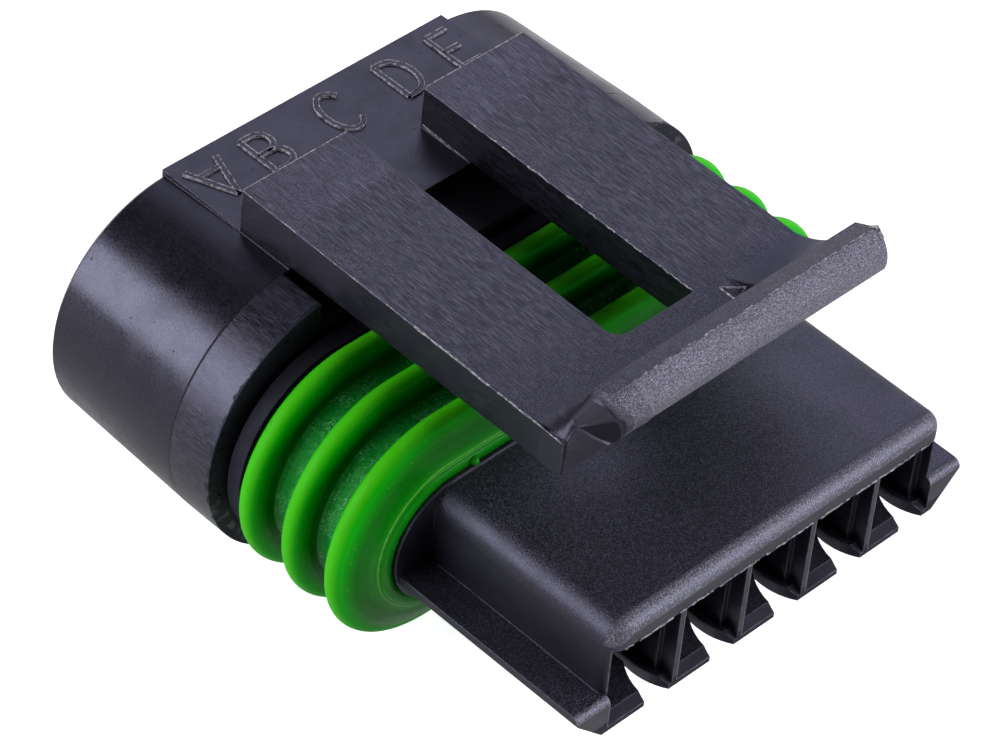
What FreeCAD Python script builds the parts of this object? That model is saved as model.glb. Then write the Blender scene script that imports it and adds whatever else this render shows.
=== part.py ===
import FreeCAD, Part
import math
import os
from FreeCAD import Vector

os.makedirs("parts", exist_ok=True)

# Frame: X along the row of cavities, Y from the mating face (0) back to the wires,
# Z up towards the latch. Z = 0 is the underside of the nose. Millimetres.

# Row of cavities
pitch = 4.0
cavities = 5
axis_z = 2.8
row_half = pitch * (cavities - 1) / 2.0

# Nose
nose_margin = 2.2
nose_half = row_half + nose_margin
nose_height = 6.0
nose_left_round = 1.3
nose_right_round = 0.8
nose_front_round = 0.8
ledge_out = 1.75
ledge_half = nose_half + ledge_out
ledge_top = 2.0
ledge_low_run = 1.6
ledge_front_round = 0.4

# Cavity openings
divider_front = 0.30
lead_depth = 0.8
lead_top = 4.7
nose_side_wall = 0.2
floor_top = 0.6
floor_lead_depth = 0.45
floor_rim = 0.28
cavity_width = 3.2
cavity_top = 4.5

# Flared slot in each cavity floor, measured across from the middle of the cavity
slot_left = 0.92
slot_right = 1.20
slot_rear = 4.2
slot_flare_y = 2.0
slot_flare_left = 0.20
slot_flare_left_mid = 0.32
slot_flare_right = 1.70
slot_flare_right_mid = 1.30
slot_mid_y = 0.85

# Neck, ring seal and the flange behind it
oval_margin = 1.0
oval_straight = row_half + oval_margin
neck_radius = 3.3
neck_front = 10.75
seal_front = 11.15
seal_lip = 0.20
seal_lip_rise = 0.55
seal_lip_step = 0.1
seal_face_rise = 1.05
seal_crest_radius = 5.95
seal_crest_land = 0.26
seal_crest_half = 0.58
seal_crest_drop = 0.42
seal_foot_half = 0.72
seal_floor_radius = 4.6
seal_nose = 1.0
seal_first_rib = seal_front + seal_nose
seal_rib_pitch = 2.69
seal_ribs = 3
seal_tail = 0.92
seal_fit = 0.02
flange_front = seal_first_rib + (seal_ribs - 1) * seal_rib_pitch + seal_tail
flange_radius = 5.3
flange_thick = 0.75
tower_radius = 4.4

# Shroud
flange_reach = 1.15
band_length = 2.5
shroud_length = 8.3
shroud_margin = 0.1
shroud_front = flange_front + flange_reach
seam_y = shroud_front + band_length
shroud_rear = seam_y + shroud_length
shroud_straight = row_half + shroud_margin
shroud_radius_seam = 6.95
shroud_radius_rear = 6.7
shroud_rear_chamfer = 0.2
pad_margin = 0.45
pad_half = row_half + pad_margin
pad_top = axis_z + shroud_radius_seam
pad_step = 0.12
relief_margin = 0.45
relief_half = pad_half + relief_margin
relief_depth = 1.15
relief_floor = pad_top - relief_depth
groove_radius = 5.3
groove_depth = 2.0
groove_floor = shroud_front + groove_depth
pocket_wall = 2.1
pocket_floor = seam_y + pocket_wall
pocket_radius = 5.3
pocket_straight = row_half
pocket_lead = 0.4

# Latch, moulded with the housing
arm_half = pad_half
arm_foot = 3.2
arm_rear = seam_y + arm_foot
arm_gap = 0.1
arm_low = pad_top + arm_gap
arm_thick_rear = 2.18
arm_thick_front = 1.83
arm_top_rear = arm_low + arm_thick_rear
arm_top_front = arm_low + arm_thick_front
arm_front = 5.6
arm_root_sink = 0.5
gap_half = 2.32
gap_front = 8.57
gap_round = 0.7

# Lip across the front of the latch: forward reach from the end of the arms, height above their underside
lip_inset = 3.85
lip_left = arm_half - lip_inset
lip_lean = 0.344
lip_end = 0.03
lip_right = arm_half - lip_end
chin_reach = 2.25
chin_rise = 3.35
brow_reach = 2.12
brow_rise = 4.55
ridge_reach = 1.5
ridge_rise = 5.2
back_reach = 0.3
back_rise = 4.65
ramp_start = 1.4
ramp_mid = 0.4
ramp_mid_rise = 2.5
scoop_left = 4.1
scoop_start = 4.0
scoop_mid = 1.15
scoop_mid_rise = 2.6
ramp_sink = 0.05

# Low corner at the left end of the lip
corner_slope = 0.8
corner_lean = 1.0
corner_rise = 2.5
corner_low_rise = 1.95
corner_margin = 0.1

# Rear wire seal
wire_seal_setback = 1.4
wire_seal_rear = shroud_rear - wire_seal_setback
wire_rib_height = 0.45
wire_seal_core = pocket_radius - wire_rib_height
wire_seal_ribs = 3
wire_rib_land = 0.20
wire_rib_foot = 0.50
wire_rib_bite = 0.2
wire_bore_radius = 0.85

# Terminals
sheet = 0.3
box_front = 3.2
box_length = 7.0
box_width = 2.5
box_height = 2.9
bridge_width = 1.5
bridge_lap = 0.5
core_wing_start = 12.2
core_wing_length = 3.2
core_wing_height = 3.0
core_wing_width = 2.0
cover_wing_start = 17.2
cover_wing_length = 3.4
cover_wing_height = 3.4
cover_wing_width = 2.7
tang_width = 1.1
tang_start = 5.2
tang_length = 2.4
tang_rise = 1.2
tang_root = 0.9
tang_pocket_width = 1.7
tang_pocket_depth = 0.5
tang_pocket_play = 0.4
spring_start = 3.8
spring_dip_at = 3.0
spring_length = 5.2
spring_width = 1.2
spring_dip = 0.55
spring_end_drop = 0.1
spring_sheet = 0.2

# Overlap of tools that cut or of blocks that join, so that no faces only touch
sink = 0.05
clear = 1.0

names = ["a", "b", "c", "d", "e"]


def cavity_x(index):
    return (index - (cavities - 1) / 2.0) * pitch


def oval_wire(y, straight, radius):
    top = axis_z + radius
    low = axis_z - radius
    reach = straight + radius
    right = Part.Arc(Vector(straight, y, top), Vector(reach, y, axis_z), Vector(straight, y, low))
    left = Part.Arc(Vector(-straight, y, low), Vector(-reach, y, axis_z), Vector(-straight, y, top))
    under = Part.makeLine(Vector(straight, y, low), Vector(-straight, y, low))
    over = Part.makeLine(Vector(-straight, y, top), Vector(straight, y, top))
    return Part.Wire([right.toShape(), under, left.toShape(), over])


def oval_block(y_start, y_end, straight, radius):
    return Part.Face(oval_wire(y_start, straight, radius)).extrude(Vector(0, y_end - y_start, 0))


def oval_taper(y_start, radius_start, y_end, radius_end, straight):
    wires = [oval_wire(y_start, straight, radius_start), oval_wire(y_end, straight, radius_end)]
    return Part.makeLoft(wires, True, True)


def box_between(x_low, x_high, y_low, y_high, z_low, z_high):
    return Part.makeBox(x_high - x_low, y_high - y_low, z_high - z_low, Vector(x_low, y_low, z_low))


def edges_along(shape, axis, test):
    found = []
    for edge in shape.Edges:
        ends = [vertex.Point for vertex in edge.Vertexes]
        if len(ends) != 2:
            continue
        run = ends[1] - ends[0]
        if run.Length > 0.5 and abs(abs(run.dot(axis)) - run.Length) < 1e-6 and test(edge.CenterOfMass):
            found.append(edge)
    return found


def outline_wire(points, x, lean=0.0, base=0.0):
    """Closed outline given in Y and Z, at one x that shifts by lean for each unit of height above base."""
    edges = []
    for start, middle, end in points:
        first = Vector(x + lean * (start[1] - base), start[0], start[1])
        last = Vector(x + lean * (end[1] - base), end[0], end[1])
        if middle is None:
            edges.append(Part.makeLine(first, last))
        else:
            top = Vector(x + lean * (middle[1] - base), middle[0], middle[1])
            edges.append(Part.Arc(first, top, last).toShape())
    return Part.Wire(edges)


def side_profile(points, x_low, x_high):
    """Extrude a closed outline given in Y and Z along X."""
    return Part.Face(outline_wire(points, x_low)).extrude(Vector(x_high - x_low, 0, 0))


def ring_around(section, straight):
    """Carry a section given in Y and radius round an oval with half-round ends."""
    face = Part.Face(outline_wire(section, straight))
    face.translate(Vector(0, 0, axis_z))
    right = face.revolve(Vector(straight, 0, axis_z), Vector(0, 1, 0), 180)
    top = face.extrude(Vector(-2 * straight, 0, 0))
    left = right.mirror(Vector(0, 0, 0), Vector(1, 0, 0))
    low = top.mirror(Vector(0, 0, axis_z), Vector(0, 0, 1))
    return right.fuse([top, left, low]).removeSplitter()


def make_nose():
    along_x, along_y = Vector(1, 0, 0), Vector(0, 1, 0)
    depth = neck_front + clear / 2
    core = box_between(-nose_half, nose_half, 0, depth, 0, nose_height)
    left = edges_along(core, along_y, lambda c: c.z > nose_height - sink and c.x < 0)
    core = core.makeFillet(nose_left_round, left)
    right = edges_along(core, along_y, lambda c: c.z > nose_height - sink and c.x > 0)
    core = core.makeFillet(nose_right_round, right)
    front = [edge for edge in core.Edges if edge.BoundBox.YMax < sink and edge.BoundBox.ZMax > sink]
    core = core.makeFillet(nose_front_round, front)
    ledge = box_between(-ledge_half, ledge_half, 0, depth, 0, ledge_top)
    low = edges_along(ledge, along_y, lambda c: c.z < sink)
    ledge = ledge.makeChamfer(ledge_low_run, low)
    top = edges_along(ledge, along_x, lambda c: c.y < sink and c.z > ledge_top - sink)
    ledge = ledge.makeFillet(ledge_front_round, top)
    return core.fuse(ledge)


def make_slot():
    """Slot through one cavity floor, parallel at the back and flared to the mating face."""
    low = -clear
    front = -clear
    middle = (slot_left + slot_right) / 2
    radius = (slot_right - slot_left) / 2
    corner = [Vector(slot_flare_left, front, low), Vector(slot_flare_left, 0, low)]
    corner += [Vector(slot_left, slot_flare_y, low), Vector(slot_left, slot_rear - radius, low)]
    corner += [Vector(slot_right, slot_rear - radius, low), Vector(slot_right, slot_flare_y, low)]
    corner += [Vector(slot_flare_right, 0, low), Vector(slot_flare_right, front, low)]
    left_mid = Vector(slot_flare_left_mid, slot_mid_y, low)
    right_mid = Vector(slot_flare_right_mid, slot_mid_y, low)
    edges = [Part.makeLine(corner[0], corner[1])]
    edges.append(Part.Arc(corner[1], left_mid, corner[2]).toShape())
    edges.append(Part.makeLine(corner[2], corner[3]))
    edges.append(Part.Arc(corner[3], Vector(middle, slot_rear, low), corner[4]).toShape())
    edges.append(Part.makeLine(corner[4], corner[5]))
    edges.append(Part.Arc(corner[5], right_mid, corner[6]).toShape())
    edges.append(Part.makeLine(corner[6], corner[7]))
    edges.append(Part.makeLine(corner[7], corner[0]))
    return Part.Face(Part.Wire(edges)).extrude(Vector(0, 0, floor_top - low + sink))


def lip_outline(front, chin, brow, ridge, back, ramp, start):
    """Outline of the lip in Y and Z, round from the foot of its front face."""
    foot = (arm_front, arm_low)
    return [
        (foot, None, front),
        (front, None, chin),
        (chin, brow, ridge),
        (ridge, None, back),
        (back, ramp, start),
        (start, None, (start[0], arm_low)),
        ((start[0], arm_low), None, foot),
    ]


def make_latch():
    top = [
        ((arm_front, arm_low), None, (arm_rear, arm_low)),
        ((arm_rear, arm_low), None, (arm_rear, arm_top_rear)),
        ((arm_rear, arm_top_rear), None, (arm_front, arm_top_front)),
        ((arm_front, arm_top_front), None, (arm_front, arm_low)),
    ]
    plate = side_profile(top, -arm_half, arm_half)
    gap = box_between(-gap_half, gap_half, gap_front, arm_rear + clear, arm_low - clear,
                      arm_top_rear + clear)
    corner = edges_along(gap, Vector(0, 0, 1), lambda c: c.y < gap_front + sink and c.x < 0)
    gap = gap.makeFillet(gap_round, corner)
    front = (arm_front - sink, arm_low + sink)
    chin = (arm_front - chin_reach, arm_low + chin_rise)
    brow = (arm_front - brow_reach, arm_low + brow_rise)
    ridge = (arm_front - ridge_reach, arm_low + ridge_rise)
    back = (arm_front - back_reach, arm_low + back_rise)
    ramp = (arm_front + ramp_mid, arm_low + ramp_mid_rise)
    start = (arm_front + ramp_start, arm_top_front - ramp_sink)
    full = lip_outline(front, chin, brow, ridge, back, ramp, start)
    end = outline_wire(full, -lip_left, -lip_lean, arm_low)
    lip = Part.makeLoft([end, outline_wire(full, lip_right)], True, True)
    scoop_ramp = (arm_front + scoop_mid, arm_low + scoop_mid_rise)
    scoop_end = (arm_front + scoop_start, arm_top_front - ramp_sink)
    inside = arm_low + clear
    scoop_top = (back[0] - 4 * sink, back[1] - 2 * sink)
    scoop_outline = [
        (scoop_top, scoop_ramp, scoop_end),
        (scoop_end, None, (scoop_end[0], inside)),
        ((scoop_end[0], inside), None, (arm_front, inside)),
        ((arm_front, inside), None, scoop_top),
    ]
    scoop = side_profile(scoop_outline, scoop_left, lip_right)
    mounds = []
    for rise in (corner_rise, corner_low_rise):
        chin = (arm_front - sink, arm_low + rise - 3 * sink)
        ridge = (arm_front + 2 * sink, arm_low + rise)
        back = (arm_front + 4 * sink, arm_low + rise)
        mounds.append(lip_outline(front, chin, None, ridge, back, None, start))
    foot = outline_wire(mounds[0], -lip_left - corner_slope, -corner_lean, arm_low)
    fall = Part.makeLoft([end, foot], True, True)
    corner = Part.makeLoft([foot, outline_wire(mounds[1], corner_margin - arm_half)], True, True)
    root = box_between(-arm_half, arm_half, seam_y, arm_rear, pad_top - arm_root_sink, arm_low + sink)
    root = root.cut(box_between(-gap_half, gap_half, seam_y, arm_rear, pad_top, arm_low + clear))
    return plate.fuse([lip, scoop, fall, corner]).cut(gap).fuse(root)


def make_shroud():
    edge_y = shroud_rear - shroud_rear_chamfer
    edge_radius = shroud_radius_rear - shroud_rear_chamfer
    rear = oval_taper(seam_y, shroud_radius_seam, edge_y, shroud_radius_rear, shroud_straight)
    rear = rear.fuse(oval_taper(edge_y, shroud_radius_rear, shroud_rear, edge_radius, shroud_straight))
    beyond = 2 * shroud_straight
    trim = box_between(-beyond, beyond, seam_y - clear, shroud_rear + clear, pad_top - pad_step,
                       pad_top + beyond)
    rear = rear.cut(trim)
    pad = box_between(-pad_half, pad_half, seam_y, shroud_rear, axis_z, pad_top)
    band = oval_block(shroud_front, seam_y, shroud_straight, shroud_radius_seam)
    relief = box_between(-relief_half, relief_half, shroud_front - clear, seam_y, relief_floor,
                         pad_top + beyond)
    band = band.cut(relief)
    return rear.fuse([pad, band])


def make_housing():
    body = make_shroud()
    body = body.cut(oval_block(shroud_front - clear, groove_floor, shroud_straight, groove_radius))
    neck = oval_block(neck_front, groove_floor, oval_straight, neck_radius)
    flange = oval_block(flange_front, flange_front + flange_thick, oval_straight, flange_radius)
    tower = oval_block(flange_front, groove_floor, shroud_straight, tower_radius)
    body = body.fuse([neck, flange, tower, make_nose(), make_latch()])
    pocket = oval_block(pocket_floor, shroud_rear + clear, pocket_straight, pocket_radius)
    mouth_radius = pocket_radius + pocket_lead + sink
    mouth = oval_taper(shroud_rear - pocket_lead, pocket_radius, shroud_rear + sink, mouth_radius,
                       pocket_straight)
    cuts = [pocket, mouth]
    slot = make_slot()
    for index in range(cavities):
        x = cavity_x(index)
        half = cavity_width / 2
        cuts.append(box_between(x - half, x + half, lead_depth - sink, pocket_floor + sink, floor_top,
                                cavity_top))
        left = x - pitch / 2 + divider_front / 2
        right = x + pitch / 2 - divider_front / 2
        if index == 0:
            left = nose_side_wall - nose_half
        if index == cavities - 1:
            right = nose_half - nose_side_wall
        cuts.append(box_between(left, right, -clear, lead_depth, floor_top, lead_top))
        ramp = [
            ((-clear, floor_rim), None, (0, floor_rim)),
            ((0, floor_rim), None, (floor_lead_depth, floor_top)),
            ((floor_lead_depth, floor_top), None, (-clear, floor_top)),
            ((-clear, floor_top), None, (-clear, floor_rim)),
        ]
        cuts.append(side_profile(ramp, left, right))
        shifted = slot.copy()
        shifted.translate(Vector(x, 0, 0))
        cuts.append(shifted)
        play = tang_pocket_play
        cuts.append(box_between(x - tang_pocket_width / 2, x + tang_pocket_width / 2, tang_start - play,
                                tang_start + tang_length + play, cavity_top - sink, cavity_top + tang_pocket_depth))
    return body.cut(cuts).removeSplitter()


def make_ring_seal():
    inner = neck_radius + seal_fit
    lip_y = seal_front - seal_lip
    lip_radius = neck_radius + seal_lip_rise
    low_radius = seal_crest_radius - seal_crest_drop
    line = [(lip_y, inner), (lip_y, lip_radius), (seal_front, lip_radius + seal_lip_step)]
    line.append((seal_front, neck_radius + seal_face_rise))
    for index in range(seal_ribs):
        crest = seal_first_rib + index * seal_rib_pitch
        if index > 0:
            line.append((crest - seal_foot_half, seal_floor_radius))
        line.append((crest - seal_crest_half, low_radius))
        line.append((crest - seal_crest_land, seal_crest_radius))
        line.append((crest + seal_crest_land, seal_crest_radius))
        line.append((crest + seal_crest_half, low_radius))
        line.append((crest + seal_foot_half, seal_floor_radius))
    line.append((flange_front, seal_floor_radius))
    line.append((flange_front, inner))
    section = []
    for start, end in zip(line, line[1:] + line[:1]):
        section.append((start, None, end))
    return ring_around(section, oval_straight)


def make_wire_seal():
    crest = pocket_radius - seal_fit
    step = (wire_seal_rear - pocket_floor) / wire_seal_ribs
    inner = wire_seal_core - wire_rib_bite
    body = oval_block(pocket_floor, wire_seal_rear, pocket_straight, wire_seal_core)
    for index in range(wire_seal_ribs):
        middle = pocket_floor + (index + 0.5) * step
        rib = [
            ((middle - wire_rib_foot, inner), None, (middle - wire_rib_land, crest)),
            ((middle - wire_rib_land, crest), None, (middle + wire_rib_land, crest)),
            ((middle + wire_rib_land, crest), None, (middle + wire_rib_foot, inner)),
            ((middle + wire_rib_foot, inner), None, (middle - wire_rib_foot, inner)),
        ]
        body = body.fuse(ring_around(rib, pocket_straight))
    back = Vector(0, 1, 0)
    for index in range(cavities):
        x = cavity_x(index)
        start = Vector(x, pocket_floor - clear, axis_z)
        length = wire_seal_rear - pocket_floor + 2 * clear
        body = body.cut(Part.makeCylinder(wire_bore_radius, length, start, back))
    return body.removeSplitter()


def make_terminal(x):
    floor = floor_top
    half = box_width / 2
    box_rear = box_front + box_length
    box = box_between(-half, half, box_front, box_rear, floor, floor + box_height)
    hollow = box_between(-half + sheet, half - sheet, box_front - clear, box_rear + clear, floor + sheet,
                         floor + box_height - sheet)
    strip = box_between(-bridge_width / 2, bridge_width / 2, box_rear - bridge_lap,
                        cover_wing_start + cover_wing_length, floor, floor + sheet)
    shape = box.cut(hollow).fuse(strip)
    wings = [(core_wing_start, core_wing_length, core_wing_height, core_wing_width)]
    wings.append((cover_wing_start, cover_wing_length, cover_wing_height, cover_wing_width))
    for start, length, height, width in wings:
        outer = box_between(-width / 2, width / 2, start, start + length, floor, floor + height)
        inner = box_between(-width / 2 + sheet, width / 2 - sheet, start - clear, start + length + clear,
                            floor + sheet, floor + height + clear)
        shape = shape.fuse(outer.cut(inner))
    top = floor + box_height
    tang_end = tang_start + tang_length
    tang = [
        ((tang_start, top - sink), None, (tang_start, top)),
        ((tang_start, top), None, (tang_end, top + tang_rise)),
        ((tang_end, top + tang_rise), None, (tang_end, top + tang_rise - sheet)),
        ((tang_end, top + tang_rise - sheet), None, (tang_start + tang_root, top - sink)),
        ((tang_start + tang_root, top - sink), None, (tang_start, top - sink)),
    ]
    shape = shape.fuse(side_profile(tang, -tang_width / 2, tang_width / 2))
    under = top - sheet
    dip_y = spring_start + spring_dip_at
    end_y = spring_start + spring_length
    spring = [
        ((spring_start, under + sink), None, (dip_y, under - spring_dip)),
        ((dip_y, under - spring_dip), None, (end_y, under - spring_end_drop)),
        ((end_y, under - spring_end_drop), None, (end_y, under - spring_end_drop - spring_sheet)),
        ((end_y, under - spring_end_drop - spring_sheet), None, (dip_y, under - spring_dip - spring_sheet)),
        ((dip_y, under - spring_dip - spring_sheet), None, (spring_start, under - spring_sheet)),
        ((spring_start, under - spring_sheet), None, (spring_start, under + sink)),
    ]
    shape = shape.fuse(side_profile(spring, -spring_width / 2, spring_width / 2)).removeSplitter()
    shape.translate(Vector(x, 0, 0))
    return shape


def save(shape, name):
    solids = shape.Solids
    if len(solids) != 1 or not shape.isValid():
        raise RuntimeError(name + " is not one valid solid: " + str(len(solids)))
    box = solids[0].BoundBox
    sizes = [round(size, 2) for size in (box.XLength, box.YLength, box.ZLength)]
    print(name, round(solids[0].Volume, 1), *sizes)
    solids[0].exportStep("parts/" + name + ".step")


save(make_housing(), "housing")
save(make_ring_seal(), "ring_seal")
save(make_wire_seal(), "wire_seal")
for index, name in enumerate(names):
    save(make_terminal(cavity_x(index)), "terminal_" + name)
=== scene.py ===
import bpy, bmesh, math, random
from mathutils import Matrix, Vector, noise


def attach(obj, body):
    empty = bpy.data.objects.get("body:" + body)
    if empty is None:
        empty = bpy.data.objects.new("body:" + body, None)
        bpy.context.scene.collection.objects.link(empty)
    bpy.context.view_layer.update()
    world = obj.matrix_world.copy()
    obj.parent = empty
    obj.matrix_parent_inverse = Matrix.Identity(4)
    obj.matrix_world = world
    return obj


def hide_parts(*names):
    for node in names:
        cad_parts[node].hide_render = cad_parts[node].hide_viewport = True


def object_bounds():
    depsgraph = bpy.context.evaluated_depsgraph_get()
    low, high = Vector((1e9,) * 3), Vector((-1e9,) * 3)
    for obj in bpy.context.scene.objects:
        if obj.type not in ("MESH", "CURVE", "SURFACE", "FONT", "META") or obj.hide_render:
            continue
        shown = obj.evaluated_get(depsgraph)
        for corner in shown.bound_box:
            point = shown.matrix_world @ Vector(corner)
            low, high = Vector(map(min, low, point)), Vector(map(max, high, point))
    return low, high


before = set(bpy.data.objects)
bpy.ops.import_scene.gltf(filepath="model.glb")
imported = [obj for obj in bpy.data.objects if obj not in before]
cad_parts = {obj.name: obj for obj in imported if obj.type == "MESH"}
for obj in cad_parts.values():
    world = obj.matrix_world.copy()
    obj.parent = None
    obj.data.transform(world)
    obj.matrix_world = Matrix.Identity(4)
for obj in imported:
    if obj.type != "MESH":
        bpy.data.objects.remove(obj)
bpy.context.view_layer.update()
print("frame loaded:", len(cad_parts), "nodes")

mm = 0.001
axisZ = 2.8  # height of the row of cavities, in millimetres like all sizes below
scene = bpy.context.scene


# Small helpers for node trees
def addNode(tree, kind, feeds=None, **settings):
    node = tree.nodes.new(kind)
    for key, value in settings.items():
        setattr(node, key, value)
    for key, value in (feeds or {}).items():
        if isinstance(value, bpy.types.NodeSocket):
            tree.links.new(value, node.inputs[key])
        else:
            node.inputs[key].default_value = value
    return node


def calc(tree, operation, first, second, clamp=False):
    feeds = {0: first, 1: second}
    return addNode(tree, "ShaderNodeMath", feeds, operation=operation, use_clamp=clamp).outputs[0]


def times(tree, *values):
    result = values[0]
    for value in values[1:]:
        result = calc(tree, "MULTIPLY", result, value)
    return result


def most(tree, *values):
    result = values[0]
    for value in values[1:]:
        result = calc(tree, "MAXIMUM", result, value)
    return result


def scaled(tree, value, factor, start):
    return calc(tree, "ADD", calc(tree, "MULTIPLY", value, factor), start)


def mapped(tree, value, low, high, toLow=0.0, toHigh=1.0):
    feeds = {"Value": value, "From Min": low, "From Max": high, "To Min": toLow, "To Max": toHigh}
    return addNode(tree, "ShaderNodeMapRange", feeds).outputs[0]


def between(tree, value, low, high, soft):
    rise = mapped(tree, value, low - soft, low + soft)
    return times(tree, rise, mapped(tree, value, high + soft, high - soft))


# A soft box: for each axis named, the lowest and highest value and the softness of its edge
def inside(tree, axes, region):
    return times(tree, *[between(tree, axes[name], *limits) for name, limits in region.items()])


def blendColour(tree, factor, first, second):
    return addNode(tree, "ShaderNodeMix", {0: factor, 6: first, 7: second}, data_type="RGBA").outputs[2]


def clouds(tree, place, scale, detail):
    return addNode(tree, "ShaderNodeTexNoise", {"Vector": place, "Scale": scale, "Detail": detail}).outputs[0]


def newGroup(name, incoming, outgoing):
    group = bpy.data.node_groups.new(name, "ShaderNodeTree")
    for label, kind, value in incoming:
        socket = group.interface.new_socket(name=label, in_out="INPUT", socket_type=kind)
        socket.default_value = value
    for label, kind in outgoing:
        group.interface.new_socket(name=label, in_out="OUTPUT", socket_type=kind)
    return group, group.nodes.new("NodeGroupInput"), group.nodes.new("NodeGroupOutput")


# Grain: a fine noise that can be drawn out along one axis, and a slower tone beside it
grainLook = {"fineDetail": 3.0, "slowShare": 0.17, "slowDetail": 2.0}


def buildGrain():
    v = grainLook
    incoming = [("Place", "NodeSocketVector", (0, 0, 0)), ("Stretch", "NodeSocketVector", (1, 1, 1)),
                ("Size", "NodeSocketFloat", 0.1), ("Sharpness", "NodeSocketFloat", 0.6)]
    outgoing = [("Height", "NodeSocketFloat"), ("Tone", "NodeSocketFloat")]
    group, start, end = newGroup("mouldGrain", incoming, outgoing)
    pulled = addNode(group, "ShaderNodeVectorMath", {0: start.outputs["Place"], 1: start.outputs["Stretch"]},
                     operation="MULTIPLY").outputs[0]
    scale = calc(group, "DIVIDE", 1.0, start.outputs["Size"])
    fine = addNode(group, "ShaderNodeTexNoise", {"Vector": pulled, "Scale": scale, "Detail": v["fineDetail"],
                                                 "Roughness": start.outputs["Sharpness"]})
    slow = clouds(group, pulled, times(group, scale, v["slowShare"]), v["slowDetail"])
    group.links.new(fine.outputs[0], end.inputs["Height"])
    group.links.new(slow, end.inputs["Tone"])
    return group


# Edge mask for rubbed wear and painted edge highlights: where the surface turns outward within the radius,
# broken up by noise
edgeLook = {"turn": (0.985, 0.80), "hollow": 0.0004, "open": (0.72, 0.95), "scale": 2.2, "detail": 4.0,
           "patch": (0.36, 0.60, 0.15, 1.0), "samples": 4}


def buildEdgeMask():
    v = edgeLook
    incoming = [("Place", "NodeSocketVector", (0, 0, 0)), ("Radius", "NodeSocketFloat", 0.0001),
                ("Break Up", "NodeSocketFloat", 0.5)]
    group, start, end = newGroup("edgeRubAndShine", incoming, [("Mask", "NodeSocketFloat")])
    bevel = addNode(group, "ShaderNodeBevel", {"Radius": start.outputs["Radius"]}, samples=v["samples"])
    facing = addNode(group, "ShaderNodeNewGeometry")
    turn = addNode(group, "ShaderNodeVectorMath", {0: bevel.outputs[0], 1: facing.outputs["Normal"]},
                   operation="DOT_PRODUCT")
    bend = mapped(group, turn.outputs["Value"], *v["turn"])
    hollow = addNode(group, "ShaderNodeAmbientOcclusion", {"Distance": v["hollow"]}, samples=v["samples"])
    openness = mapped(group, hollow.outputs["AO"], *v["open"])
    patch = mapped(group, clouds(group, start.outputs["Place"], v["scale"], v["detail"]), *v["patch"])
    broken = addNode(group, "ShaderNodeMix", {0: start.outputs["Break Up"], 2: 1.0, 3: patch}).outputs[0]
    group.links.new(times(group, bend, openness, broken), end.inputs["Mask"])
    return group


grainGroup = buildGrain()
edgeGroup = buildEdgeMask()


# A grain is given as stretch along each axis, size in millimetres and sharpness
def placeGrain(tree, place, grain):
    stretch, size, sharpness = grain
    feeds = {"Place": place, "Stretch": stretch, "Size": size, "Sharpness": sharpness}
    return addNode(tree, "ShaderNodeGroup", feeds, node_tree=grainGroup).outputs


# An edge mask is given as radius in metres and how far it is broken up
def placeEdgeMask(tree, place, rubAndShine):
    feeds = {"Place": place, "Radius": rubAndShine[0], "Break Up": rubAndShine[1]}
    return addNode(tree, "ShaderNodeGroup", feeds, node_tree=edgeGroup).outputs[0]


# Distance from the oval's middle line, which runs sideReach to each side of the part's middle
def ovalReach(tree, x, z, sideReach):
    beyond = most(tree, calc(tree, "SUBTRACT", calc(tree, "ABSOLUTE", x, 0.0), sideReach), 0.0)
    rise = calc(tree, "SUBTRACT", z, axisZ)
    return calc(tree, "SQRT", calc(tree, "ADD", times(tree, beyond, beyond), times(tree, rise, rise)), 0.0)


def newMaterial(name):
    material = bpy.data.materials.new(name)
    material.use_nodes = True
    tree = material.node_tree
    tree.nodes.clear()
    output = tree.nodes.new("ShaderNodeOutputMaterial")
    shader = tree.nodes.new("ShaderNodeBsdfPrincipled")
    tree.links.new(shader.outputs[0], output.inputs[0])
    coords = tree.nodes.new("ShaderNodeTexCoord")
    place = addNode(tree, "ShaderNodeVectorMath", {0: coords.outputs["Object"], 1: (1 / mm, 1 / mm, 1 / mm)},
                    operation="MULTIPLY").outputs[0]
    return material, tree, shader, place


def axesOf(tree, place):
    parts = addNode(tree, "ShaderNodeSeparateXYZ", {0: place}).outputs
    return {"x": parts[0], "y": parts[1], "z": parts[2]}


def feedShader(tree, shader, colour, rough, height, depth, strength=1.0, normal=None):
    bump = addNode(tree, "ShaderNodeBump", {"Height": height, "Distance": depth, "Strength": strength})
    if normal is not None:
        tree.links.new(normal, bump.inputs["Normal"])
    tree.links.new(colour, shader.inputs["Base Color"])
    tree.links.new(rough, shader.inputs["Roughness"])
    tree.links.new(bump.outputs[0], shader.inputs["Normal"])


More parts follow.
